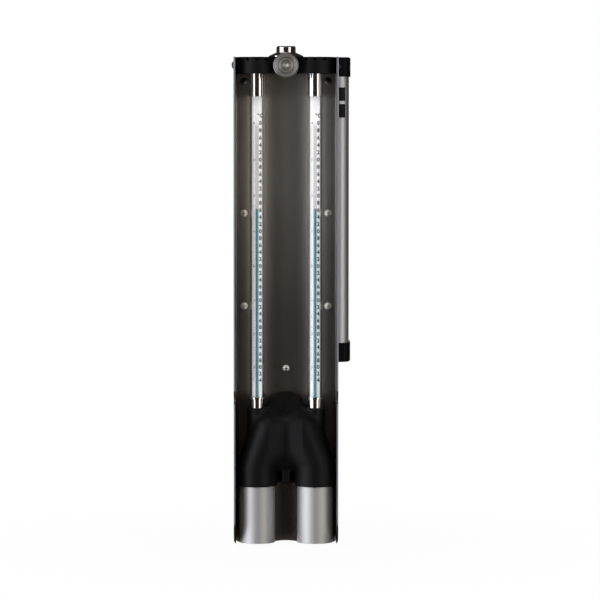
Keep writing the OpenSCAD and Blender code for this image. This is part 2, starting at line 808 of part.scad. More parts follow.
// A block with a rounded upper rim, cut flush with the plate at the front
module cap_body(h) {
    round_r = 1.6;
    steps = 4;
    intersection() {
        hull() for (c = case_corners(cap_lip)) translate([c[0], c[1], 0]) rotate_extrude($fn = 32) polygon(concat(
            [[0, 0], [c[2], 0]],
            [for (i = [0 : steps]) [c[2] - round_r, h - round_r] + round_r * [cos(90 * i / steps), sin(90 * i / steps)]],
            [[0, h]]
        ));
        translate([case_left - 10, case_front, -over]) cube([case_w + 20, case_depth + 20, h + 2 * over]);
    }
}

module cap_plug(z0, z1) {
    difference() {
        translate([0, 0, z0]) linear_extrude(z1 - z0) difference() {
            case_hollow(slot_gap);
            case_hollow(slot_gap + plug_wall);
        }
        box(case_left, case_right, case_front, duct_back + over, z0 - over, z1 + over);
    }
}

module top_cap() {
    slot_n = 9;
    slot_w = 3;
    slot_inset = 12;
    pitch = (case_w - 2 * slot_inset) / (slot_n - 1);
    color([0.1, 0.1, 0.11]) {
        difference() {
            translate([0, 0, case_top_z]) cap_body(top_cap_h);
            translate([0, 0, case_top_z - over]) linear_extrude(top_cap_h - cap_wall + over)
                case_hollow(slot_gap + plug_wall);
            for (i = [0 : slot_n - 1])
                box(case_left + slot_inset + i * pitch - slot_w / 2, case_left + slot_inset + i * pitch + slot_w / 2,
                    case_inner_back - 3, case_back + 3, case_top_z + 3, case_top_z + top_cap_h - 4);
        }
        cap_plug(case_top_z - plug_h, case_top_z + 0.5);
    }
}

module bottom_cap() {
    gap = slot_gap;
    color([0.1, 0.1, 0.11]) {
        difference() {
            translate([0, 0, case_bottom_z]) mirror([0, 0, 1]) cap_body(bottom_cap_h);
            translate([0, 0, cap_end_z + cap_wall]) linear_extrude(bottom_cap_h) case_hollow(slot_gap + plug_wall);
            box(-duct_w / 2 - gap, duct_w / 2 + gap, duct_front - gap, duct_back + gap, cap_end_z - over, case_bottom_z);
        }
        cap_plug(case_bottom_z - 0.5, case_bottom_z + plug_h);
    }
}

// Ducts and blower

module rear_duct() {
    half = duct_w / 2 + 1;
    back = duct_back + 1;
    lid_z = cap_end_z;
    color([0.13, 0.13, 0.14]) difference() {
        slab(plate_back, back) {
            translate([-half, port_z]) square([2 * half, lid_z - port_z]);
            translate([0, port_z]) circle(half);
        }
        difference() {
            slab(duct_seat_y, back - duct_wall) {
                translate([duct_wall - half, port_z]) square([2 * (half - duct_wall), lid_z - port_z + over]);
                translate([0, port_z]) circle(half - duct_wall);
            }
            middle_place() rod_y(screw_r + 2, plate_back, plate_back + duct_bite + 3.5);
        }
        translate([0, 0, port_z]) rod_y(spigot_r + running_gap, plate_back - over, duct_seat_y + over);
        middle_place() rod_y(screw_r, plate_back - over, plate_back + duct_bite + 2);
    }
}

module air_duct() {
    half = duct_w / 2;
    top = blower_z + eye_r + 3;
    color([0.16, 0.16, 0.17]) difference() {
        box(-half, half, duct_front, duct_back, cap_end_z, top);
        box(duct_wall - half, half - duct_wall, duct_front + duct_wall, duct_back - duct_wall,
            cap_end_z - over, top - duct_wall);
        translate([0, 0, blower_z]) rod_y(eye_r, duct_back - duct_wall - over, duct_back + over);
    }
}

// The scroll widens from the tongue round to the outlet
module scroll(wall) {
    steps = 30;
    sweep = 360 - tongue_angle;
    polygon([for (i = [0 : steps])
        (scroll_start_r + (scroll_end_r - scroll_start_r) * i / steps + wall)
            * [cos(tongue_angle + sweep * i / steps), sin(tongue_angle + sweep * i / steps)]]);
    translate([outlet_left - wall, 0])
        square([scroll_end_r + 2 * wall - outlet_left, outlet_top_z - blower_z + (wall > 0 ? 0 : over)]);
}

module blower_cover() {
    color([0.2, 0.2, 0.21]) translate([0, 0, blower_z]) difference() {
        slab(duct_back, blower_front) scroll(duct_wall);
        rod_y(eye_r, duct_back - over, blower_front + over);
    }
}

module blower_housing() {
    color([0.2, 0.2, 0.21]) translate([0, 0, blower_z]) difference() {
        slab(blower_front, housing_back) scroll(duct_wall);
        slab(blower_front - over, scroll_back) scroll(0);
        rod_y(shaft_r + 1, scroll_back - over, housing_back + over);
    }
}

module blade() {
    lean = 30;
    half_t = 0.45;
    steps = 4;
    side = [for (i = [0 : steps]) [blade_in_r + (wheel_r - blade_in_r) * i / steps, lean * pow(i / steps, 2) / 2]];
    polygon(concat(
        [for (p = side) [p[0] * cos(p[1]), p[0] * sin(p[1]) - half_t]],
        [for (i = [steps : -1 : 0]) [side[i][0] * cos(side[i][1]), side[i][0] * sin(side[i][1]) + half_t]]
    ));
}

module impeller() {
    color([0.85, 0.85, 0.83]) translate([0, 0, blower_z]) {
        translate([0, wheel_back - wheel_plate_t, 0]) rotate([90, 0, 0]) linear_extrude(blade_w)
            for (i = [0 : blade_count - 1]) rotate([0, 0, 360 * i / blade_count]) blade();
        difference() {
            union() {
                rod_y(wheel_r, wheel_back - wheel_plate_t - eps, wheel_back);
                rod_y(cup_r, cup_front, wheel_back);
            }
            rod_y(motor_r + 0.7, cup_front + 1.5, wheel_back + over);
            rod_y(shaft_r, cup_front - over, wheel_back);
        }
        difference() {
            rod_y(wheel_r, wheel_front, wheel_front + 1);
            rod_y(wheel_r - 2, wheel_front - over, wheel_front + 1 + over);
        }
    }
}

module impeller_shaft() {
    color([0.75, 0.75, 0.77]) translate([0, 0, blower_z]) rod_y(shaft_r, cup_front - 0.5, wheel_back - 1);
}

module motor() {
    color([0.6, 0.6, 0.62]) translate([0, 0, blower_z]) difference() {
        rod_y(motor_r, motor_front, scroll_back);
        rod_y(shaft_r + 1.5, motor_front - over, scroll_back + over);
    }
}

module motor_bearing() {
    color([0.8, 0.66, 0.35]) translate([0, 0, blower_z]) difference() {
        rod_y(shaft_r + 1.5, motor_front, scroll_back - 1);
        rod_y(shaft_r + running_gap, motor_front - over, scroll_back);
    }
}

// Batteries and switch

module battery_holder() {
    color([0.14, 0.14, 0.15]) difference() {
        box(bay_x - bay_half - holder_wall, bay_x + bay_half + holder_wall, holder_front, case_inner_back,
            bay_bottom_z - holder_wall, bay_top_z + holder_wall);
        box(bay_x - bay_half, bay_x + bay_half, holder_front + holder_wall, case_inner_back + over,
            bay_bottom_z, bay_top_z);
    }
}

function cell_x(i) = bay_x + (i - 2.5) * cell_pitch;

module cell(i) {
    nub = 1.4;
    up = i % 2 == 0;
    end_z = bay_top_z - contact_t;
    color([0.2, 0.35, 0.3]) translate([cell_x(i), cell_y, 0]) {
        rod_z(cell_r, end_z - cell_l + (up ? 0 : nub), end_z - (up ? nub : 0));
        rod_z(2.7, end_z - cell_l, end_z);
    }
}

// A flat tab at each cell's upper end and a bowed spring tab at its lower end
module battery_contacts() {
    bow = bay_h - contact_t - cell_l;
    chord = 9;
    bow_r = (chord * chord / 4 + bow * bow) / (2 * bow);
    color([0.78, 0.77, 0.7]) for (i = [1 : 4]) {
        box(cell_x(i) - 5, cell_x(i) + 5, cell_y - 4, cell_y + 4, bay_top_z - contact_t, bay_top_z);
        translate([cell_x(i), 0, bay_bottom_z]) slab(cell_y - 3, cell_y + 3) intersection() {
            difference() {
                translate([0, bow - bow_r]) circle(bow_r);
                translate([0, bow - bow_r]) circle(bow_r - contact_t);
            }
            translate([-chord, 0]) square([2 * chord, bow + over]);
        }
    }
}

module battery_door() {
    ribs = 5;
    rib_z = door_top_z - 6;
    color([0.12, 0.12, 0.13]) difference() {
        union() {
            box(bay_x - door_half, bay_x + door_half, case_back - door_skin - eps, case_back, door_bottom_z, door_top_z);
            box(bay_x - door_half - door_tongue, bay_x + door_half + door_tongue,
                case_back - 2 * door_skin - slot_gap, case_back - door_skin - slot_gap, door_bottom_z, door_top_z);
            box(bay_x - door_half, bay_x + door_half, case_back - 2 * door_skin, case_back - door_skin,
                door_bottom_z, door_top_z);
        }
        for (i = [0 : ribs - 1])
            box(bay_x - 10, bay_x + 10, case_back - 0.5, case_back + over, rib_z - 2.4 * i - 1.2, rib_z - 2.4 * i);
    }
}

module switch_block() {
    color([0.25, 0.25, 0.27])
        box(key_left - 3.5, case_right - case_wall, block_front, block_back,
            key_off_z - key_h / 2 - 2, key_on_z + key_h / 2 + 2);
}

module key(z) {
    corner_x = case_right - front_corner_r;
    corner_y = case_front + front_corner_r;
    color([0.05, 0.05, 0.05]) {
        intersection() {
            box(key_left, key_right, case_front - over, key_end_y, z - key_h / 2, z + key_h / 2);
            union() {
                translate([corner_x, corner_y, z - key_h]) cylinder(r = front_corner_r + key_proud, h = 2 * key_h);
                box(key_left - over, case_right, corner_y - 1, key_end_y + over, z - key_h, z + key_h);
            }
        }
        box(key_left - key_flange, key_right, key_flange_y, key_flange_y + key_flange_t,
            z - key_h / 2 - key_flange, z + key_h / 2 + key_flange);
    }
}

// A lead from point to point, with a ball in each bend
module lead(points) {
    for (i = [1 : len(points) - 1]) {
        run = points[i] - points[i - 1];
        translate(points[i - 1]) rotate([0, acos(run[2] / norm(run)), atan2(run[1], run[0])])
            cylinder(r = lead_r, h = norm(run), $fn = 24);
    }
    for (i = [1 : len(points) - 2]) translate(points[i]) sphere(lead_r + skin, $fn = 24);
}

module wiring() {
    color([0.6, 0.1, 0.1]) {
        lead([[lead_pitch / 2, housing_back, blower_z], [lead_pitch / 2, lead_y, blower_z],
            [lead_x, lead_y, blower_z], [lead_x, lead_y, key_off_z], [lead_x, block_back, key_off_z]]);
        lead([[-lead_pitch / 2, housing_back, blower_z], [-lead_pitch / 2, lead_y, blower_z],
            [-lead_pitch / 2, lead_y, lead_turn_z], [lead_end_x, lead_y, lead_turn_z],
            [lead_end_x, lead_y, bay_top_z + holder_wall]]);
    }
}

channel();
top_bracket();
bracket_screws();
suspension_stud();
thumbscrew();
ferrule_top(-1);  // ferrule_top_left
ferrule_top(1);  // ferrule_top_right
sheath(-1);  // sheath_left
sheath(1);  // sheath_right
scale_strip(-1);  // scale_left
scale_strip(1);  // scale_right
capillary(-1);  // capillary_left
capillary(1);  // capillary_right
liquid(-1);  // liquid_left
liquid(1);  // liquid_right
ferrule_bottom(-1);  // ferrule_bottom_left
ferrule_bottom(1);  // ferrule_bottom_right
collar_seal(-1);  // collar_seal_left
collar_seal(1);  // collar_seal_right
wick();
manifold();
manifold_screws();
socket_ring(-1);  // socket_ring_left
socket_ring(1);  // socket_ring_right
shield_outer(-1);  // shield_outer_left
shield_outer(1);  // shield_outer_right
shield_inner(-1);  // shield_inner_left
shield_inner(1);  // shield_inner_right
shield_spacer(-1);  // shield_spacer_left
shield_spacer(1);  // shield_spacer_right
plate_screws();
screw_inserts();
casing();
top_cap();
bottom_cap();
rear_duct();
air_duct();
blower_cover();
blower_housing();
impeller();
impeller_shaft();
motor();
motor_bearing();
battery_holder();
cell(1);  // cell_1
cell(2);  // cell_2
cell(3);  // cell_3
cell(4);  // cell_4
battery_contacts();
battery_door();
switch_block();
key(key_on_z);  // key_on
key(key_off_z);  // key_off
wiring();
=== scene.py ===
import bpy
import bmesh
import json
import math
from mathutils import Matrix, Vector


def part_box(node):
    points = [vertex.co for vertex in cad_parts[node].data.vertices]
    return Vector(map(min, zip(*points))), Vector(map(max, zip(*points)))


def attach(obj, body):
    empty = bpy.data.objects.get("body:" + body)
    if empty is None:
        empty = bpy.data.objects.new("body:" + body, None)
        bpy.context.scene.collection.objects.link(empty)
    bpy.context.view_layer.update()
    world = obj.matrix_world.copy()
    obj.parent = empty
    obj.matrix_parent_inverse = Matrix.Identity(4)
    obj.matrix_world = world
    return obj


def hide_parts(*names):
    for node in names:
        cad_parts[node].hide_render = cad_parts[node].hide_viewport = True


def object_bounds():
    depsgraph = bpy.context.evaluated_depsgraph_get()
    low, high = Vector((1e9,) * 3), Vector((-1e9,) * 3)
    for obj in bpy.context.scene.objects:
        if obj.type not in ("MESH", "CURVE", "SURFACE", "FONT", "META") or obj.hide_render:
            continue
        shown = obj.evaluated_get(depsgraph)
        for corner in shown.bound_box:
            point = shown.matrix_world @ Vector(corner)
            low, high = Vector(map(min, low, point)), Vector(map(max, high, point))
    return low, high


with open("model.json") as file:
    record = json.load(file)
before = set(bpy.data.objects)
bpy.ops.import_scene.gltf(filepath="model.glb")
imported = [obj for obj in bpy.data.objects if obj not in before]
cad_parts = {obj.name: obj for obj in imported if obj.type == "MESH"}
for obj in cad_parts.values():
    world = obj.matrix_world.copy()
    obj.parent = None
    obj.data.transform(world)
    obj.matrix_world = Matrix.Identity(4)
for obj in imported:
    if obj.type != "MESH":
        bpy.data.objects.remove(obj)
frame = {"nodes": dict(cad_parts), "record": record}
nodes = frame["nodes"]


def plainBox(corners):
    return [[float(v) for v in corner] for corner in corners]


cadBox = plainBox(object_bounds())
print("frame loaded:", len(nodes), "nodes")


# Far off and a little above the middle, looking slightly down

photoView = {
    "location": (0.0, -2.718, -0.0586),
    "tilt": 3.0,  # degrees below level
    "lens": 206.08,
    "sensor": 36,
    "shift": (0.0233, 0.0008),
    "clip": (0.05, 100),
}


def makeCamera(view):
    data = bpy.data.cameras.new("photoCamera")
    data.lens = view["lens"]
    data.sensor_width = view["sensor"]
    data.sensor_fit = "HORIZONTAL"
    data.shift_x, data.shift_y = view["shift"]
    data.clip_start, data.clip_end = view["clip"]
    camera = bpy.data.objects.new("photoCamera", data)
    camera.location = view["location"]
    camera.rotation_euler = (math.radians(90 - view["tilt"]), 0, 0)
    bpy.context.scene.collection.objects.link(camera)
    bpy.context.scene.camera = camera


makeCamera(photoView)


# A hex colour as written for a screen, made linear for the shaders
def linear(hexColour):
    parts = [int(hexColour[i:i + 2], 16) / 255 for i in (1, 3, 5)]
    lit = tuple(c / 12.92 if c <= 0.04045 else ((c + 0.055) / 1.055) ** 2.4 for c in parts)
    return lit + (1.0,)


# Settings that start with a small letter are the node's own, the rest are its inputs
def addNode(tree, kind, settings=None, links=None):
    node = tree.nodes.new(kind)
    for name, value in (settings or {}).items():
        if isinstance(name, str) and name[0].islower():
            setattr(node, name, value)
        else:
            node.inputs[name].default_value = value
    for name, source in (links or {}).items():
        tree.links.new(source, node.inputs[name])
    return node


def startMaterial(name, surface):
    material = bpy.data.materials.new(name)
    material.use_nodes = True
    tree = material.node_tree
    shader = tree.nodes["Principled BSDF"]
    for socket, value in surface.items():
        shader.inputs[socket].default_value = value
    return material, tree, shader


# Colour and roughness that follow the same pattern
def followPattern(tree, s, pattern):
    tone = addNode(tree, "ShaderNodeMix", {
        "data_type": "RGBA", 6: linear(s["colour"][0]), 7: linear(s["colour"][1])},
        {"Factor": pattern})
    rough = addNode(tree, "ShaderNodeMapRange", {
        "To Min": s["roughness"][0], "To Max": s["roughness"][1]}, {"Value": pattern})
    return tone.outputs[2], rough.outputs[0]


edgeSamples = 6


# The pattern as a faint relief, with the piece's edges looking a little round
def grainRelief(tree, s, pattern):
    edge = addNode(tree, "ShaderNodeBevel", {"samples": edgeSamples, "Radius": s["edge"]})
    bump = addNode(tree, "ShaderNodeBump", {"Strength": s["bump"], "Distance": s["bumpDepth"]},
                   {"Height": pattern, "Normal": edge.outputs[0]})
    return bump.outputs[0]


def joinSurface(tree, shader, colour, rough, normal):
    tree.links.new(colour, shader.inputs["Base Color"])
    tree.links.new(rough, shader.inputs["Roughness"])
    tree.links.new(normal, shader.inputs["Normal"])


# Lengths are in metres, where a name doesn't say Mm

brushedSettings = {
    "colour": ("#87827c", "#a19c96"),
    "streakMm": (0.35, 0.35, 60),  # wider than real grinding lines, so that they show
    "clouds": 9.0,  # to the metre
    "roughness": (0.27, 0.34),
    "anisotropy": 0.8,
    "edge": 0.0003,
    "bump": 0.08,
    "bumpDepth": 0.00002,
    "rim": (0.0002, 0.0007),  # the sheared edge, from full to none, behind the walls' front
    "rimWidth": 0.0009,       # its lit outer part
    # painted highlight: the colour of the lit outer part of the walls' front edge
    "rimHighlightColour": "#bcc6d2",
    "rimRoughness": 0.8,
    # painted shade: the plate's front is painted darker downwards
    "paintedShadeDown": (-0.09, -0.24, 0.45),  # heights where it starts and ends, and what is left
    "plateFacing": -0.5,      # faces whose normal has less of Y than this look forwards
}


# Stainless sheet, belt-ground along its length: soft reflections drawn out sideways
def brushedStainless(s):
    material, tree, shader = startMaterial("brushedStainless", {
        "Metallic": 1.0, "Anisotropic": s["anisotropy"]})
    place = addNode(tree, "ShaderNodeTexCoord").outputs["Object"]
    streaks = addNode(tree, "ShaderNodeMapping", {"Scale": [1000 / w for w in s["streakMm"]]},
                      {"Vector": place})
    grind = addNode(tree, "ShaderNodeTexNoise", {"Scale": 1.0, "Detail": 3.0},
                    {"Vector": streaks.outputs[0]})
    cloudy = addNode(tree, "ShaderNodeTexNoise", {"Scale": s["clouds"], "Detail": 2.0},
                     {"Vector": place})
    both = addNode(tree, "ShaderNodeMath", {"operation": "ADD"},
                   {0: grind.outputs["Fac"], 1: cloudy.outputs["Fac"]})
    half = addNode(tree, "ShaderNodeMath", {"operation": "MULTIPLY", 1: 0.5},
                   {0: both.outputs[0]})
    tone, rough = followPattern(tree, s, half.outputs[0])

    # the walls' sheared edge is dull, and its outer part is painted bluish white as a painted
    # highlight
    low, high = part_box("channel")
    parts = addNode(tree, "ShaderNodeSeparateXYZ", None, {0: place})
    rim = addNode(tree, "ShaderNodeMapRange", {
        "From Min": low.y + s["rim"][0], "From Max": low.y + s["rim"][1],
        "To Min": 1.0, "To Max": 0.0}, {"Value": parts.outputs[1]})
    sideways = addNode(tree, "ShaderNodeMath", {"operation": "ABSOLUTE"},
                       {0: parts.outputs[0]})
    outer = addNode(tree, "ShaderNodeMath", {
        "operation": "GREATER_THAN", 1: high.x - s["rimWidth"]}, {0: sideways.outputs[0]})
    lit = addNode(tree, "ShaderNodeMath", {"operation": "MULTIPLY"},
                  {0: rim.outputs[0], 1: outer.outputs[0]})

    # painted shade: the plate's front is painted darker downwards, and the walls keep their
    # colour so that they still light the shields
    start, end, left = s["paintedShadeDown"]
    shadeFactor = addNode(tree, "ShaderNodeMapRange", {
        "interpolation_type": "SMOOTHSTEP", "From Min": end, "From Max": start,
        "To Min": left, "To Max": 1.0}, {"Value": parts.outputs[2]})
    facing = addNode(tree, "ShaderNodeNewGeometry")
    across = addNode(tree, "ShaderNodeSeparateXYZ", None, {0: facing.outputs["True Normal"]})
    wall = addNode(tree, "ShaderNodeMath", {
        "operation": "GREATER_THAN", 1: s["plateFacing"]}, {0: across.outputs[1]})
    kept = addNode(tree, "ShaderNodeMath", {"operation": "MAXIMUM"},
                   {0: shadeFactor.outputs[0], 1: wall.outputs[0]})
    deep = addNode(tree, "ShaderNodeVectorMath", {"operation": "SCALE"},
                   {0: tone, "Scale": kept.outputs[0]})

    sheared = addNode(tree, "ShaderNodeMix", {"data_type": "RGBA", 7: linear(s["rimHighlightColour"])},
                      {"Factor": lit.outputs[0], 6: deep.outputs[0]})
    dull = addNode(tree, "ShaderNodeMix", {"data_type": "FLOAT", 3: s["rimRoughness"]},
                   {"Factor": lit.outputs[0], 2: rough})
    around = addNode(tree, "ShaderNodeTangent", {"direction_type": "RADIAL", "axis": "Z"})
    tree.links.new(around.outputs[0], shader.inputs["Tangent"])
    joinSurface(tree, shader, sheared.outputs[2], dull.outputs[0],
                grainRelief(tree, s, grind.outputs["Fac"]))
    return material


grainSettings = {
    "edge": 0.0002,
    "bumpDepth": 0.00003,
    "recessShadeSamples": 8,
}


# Blasted, drawn or plated metal: a fine grain that spreads the light evenly
def grainedMetal(name, s):
    s = {**grainSettings, **s}
    material, tree, shader = startMaterial(name, {"Metallic": 1.0})
    place = addNode(tree, "ShaderNodeTexCoord").outputs["Object"]
    grit = addNode(tree, "ShaderNodeMapping", {"Scale": [1000 * n for n in s["grainsPerMm"]]},
                   {"Vector": place})
    grain = addNode(tree, "ShaderNodeTexNoise", {"Scale": 1.0, "Detail": 2.0},
                    {"Vector": grit.outputs[0]})
    colour, rough = followPattern(tree, s, grain.outputs["Fac"])
    # painted shade: darker in the recesses, from ambient occlusion
    if "paintedRecessShade" in s:
        shade = addNode(tree, "ShaderNodeAmbientOcclusion", {
            "samples": s["recessShadeSamples"], "Distance": s["paintedRecessShade"]}, {"Color": colour})
        colour = shade.outputs["Color"]
    # painted shadow: darker towards the top, under the bracket
    if "shade" in s:
        start, end, left = s["shade"]
        parts = addNode(tree, "ShaderNodeSeparateXYZ", None, {0: place})
        shadeFactor = addNode(tree, "ShaderNodeMapRange", {
            "From Min": start, "From Max": end, "To Min": 1.0, "To Max": left},
            {"Value": parts.outputs[2]})
        deep = addNode(tree, "ShaderNodeVectorMath", {"operation": "SCALE"},
                       {0: colour, "Scale": shadeFactor.outputs[0]})
        colour = deep.outputs[0]
    joinSurface(tree, shader, colour, rough, grainRelief(tree, s, grain.outputs["Fac"]))
    return material


turnedSettings = {
    "centre": (0.0, 0.0, -0.0153),
    "ringGapMm": 0.7,       # wider than the tool's real feed, so that the rings show
    "ringShare": 0.4,       # height of the even rings beside the tool's own marks
    "marksPerMm": 0.9,
    "marksRange": (0.38, 0.62),
    "colour": ("#85817d", "#d0cdc8"),
    "roughness": (0.4, 0.54),
    "anisotropy": 0.6,
    "anisotropyTurn": 0.25,
    "bump": 0.5,
    "bumpDepth": 0.00005,
}


# A lathe-turned face: fine rings round the screw's axis, with the light crossing them
def turnedSteel(s):
    material, tree, shader = startMaterial("turnedSteel", {
        "Metallic": 1.0, "Anisotropic": s["anisotropy"],
        "Anisotropic Rotation": s["anisotropyTurn"]})
    around = addNode(tree, "ShaderNodeTangent", {"direction_type": "RADIAL", "axis": "Y"})
    tree.links.new(around.outputs[0], shader.inputs["Tangent"])
    place = addNode(tree, "ShaderNodeTexCoord").outputs["Object"]
    centred = addNode(tree, "ShaderNodeVectorMath", {"operation": "SUBTRACT", 1: s["centre"]},
                      {0: place})
    flat = addNode(tree, "ShaderNodeVectorMath", {"operation": "MULTIPLY", 1: (1, 0, 1)},
                   {0: centred.outputs[0]})
    reach = addNode(tree, "ShaderNodeVectorMath", {"operation": "LENGTH"},
                    {0: flat.outputs[0]})
    phase = addNode(tree, "ShaderNodeMath", {
        "operation": "MULTIPLY", 1: 2 * math.pi * 1000 / s["ringGapMm"]},
        {0: reach.outputs["Value"]})
    rings = addNode(tree, "ShaderNodeMath", {"operation": "SINE"}, {0: phase.outputs[0]})
    marks = addNode(tree, "ShaderNodeTexNoise", {
        "noise_dimensions": "1D", "Scale": 1000 * s["marksPerMm"], "Detail": 3.0},
        {"W": reach.outputs["Value"]})
    strong = addNode(tree, "ShaderNodeMapRange", {
        "From Min": s["marksRange"][0], "From Max": s["marksRange"][1]},
        {"Value": marks.outputs["Fac"]})
    tone = addNode(tree, "ShaderNodeMix", {
        "data_type": "RGBA", 6: linear(s["colour"][0]), 7: linear(s["colour"][1])},
        {"Factor": strong.outputs[0]})
    rough = addNode(tree, "ShaderNodeMapRange", {
        "To Min": s["roughness"][0], "To Max": s["roughness"][1]},
        {"Value": marks.outputs["Fac"]})
    both = addNode(tree, "ShaderNodeMath", {"operation": "MULTIPLY_ADD", 1: s["ringShare"]},
                   {0: rings.outputs[0], 2: marks.outputs["Fac"]})
    bump = addNode(tree, "ShaderNodeBump", {"Strength": s["bump"], "Distance": s["bumpDepth"]},
                   {"Height": both.outputs[0]})
    joinSurface(tree, shader, tone.outputs[2], rough.outputs[0], bump.outputs[0])
    return material


plasticSettings = {
    "ior": 1.53,
    "specular": 0.5,
    "edge": 0.0004,
    "bumpDepth": 0.00004,
    "backFacing": 0.9,  # faces whose normal has more of Y than this look backwards
}


# Moulded ABS, rubber, cloth and opal glass: a grain that dulls the gloss
def mouldedPlastic(name, s):
    s = {**plasticSettings, **s}
    material, tree, shader = startMaterial(name, {
        "IOR": s["ior"], "Specular IOR Level": s["specular"]})
    place = addNode(tree, "ShaderNodeTexCoord").outputs["Object"]
    grain = addNode(tree, "ShaderNodeTexNoise", {"Scale": 1000 / s["grainMm"], "Detail": 2.0},
                    {"Vector": place})
    tone, rough = followPattern(tree, s, grain.outputs["Fac"])
    # painted light: faces looking backwards glow white, though no lamp is there
    if "paintedBackGlow" in s:
        facing = addNode(tree, "ShaderNodeNewGeometry")
        parts = addNode(tree, "ShaderNodeSeparateXYZ", None, {0: facing.outputs["True Normal"]})
        backward = addNode(tree, "ShaderNodeMath", {
            "operation": "GREATER_THAN", 1: s["backFacing"]}, {0: parts.outputs[1]})
        glow = addNode(tree, "ShaderNodeMath", {"operation": "MULTIPLY", 1: s["paintedBackGlow"]},
                       {0: backward.outputs[0]})
        tree.links.new(glow.outputs[0], shader.inputs["Emission Strength"])
        shader.inputs["Emission Color"].default_value = (1, 1, 1, 1)
    joinSurface(tree, shader, tone, rough, grainRelief(tree, s, grain.outputs["Fac"]))
    return material


glassSettings = {
    "roughness": 0.01,
    "linesPerMm": (0.3, 0.3, 0.004),
    "bump": 0.01,
    "bumpDepth": 0.00001,
}


# Drawn glass: clear, with faint drawing lines along it; the lamps shine on what is inside
def drawnGlass(name, s):
    s = {**glassSettings, **s}
    material, tree, shader = startMaterial(name, {
        "Base Color": linear(s["colour"]), "Transmission Weight": 1.0, "IOR": s["ior"],
        "Roughness": s["roughness"]})
    place = addNode(tree, "ShaderNodeTexCoord").outputs["Object"]
    drawn = addNode(tree, "ShaderNodeMapping", {"Scale": [1000 * n for n in s["linesPerMm"]]},
                    {"Vector": place})
    lines = addNode(tree, "ShaderNodeTexNoise", {"Scale": 1.0, "Detail": 1.0},
                    {"Vector": drawn.outputs[0]})
    bump = addNode(tree, "ShaderNodeBump", {"Strength": s["bump"], "Distance": s["bumpDepth"]},
                   {"Height": lines.outputs["Fac"]})
    tree.links.new(bump.outputs[0], shader.inputs["Normal"])
    clear = addNode(tree, "ShaderNodeBsdfTransparent", {"Color": linear(s["colour"])})
    path = addNode(tree, "ShaderNodeLightPath")
    mixed = addNode(tree, "ShaderNodeMixShader", None, {
        0: path.outputs["Is Shadow Ray"], 1: shader.outputs[0], 2: clear.outputs[0]})
    tree.links.new(mixed.outputs[0], tree.nodes["Material Output"].inputs["Surface"])
    return material


# Real blasting, drawing and plating are finer than these grains, which are drawn to show

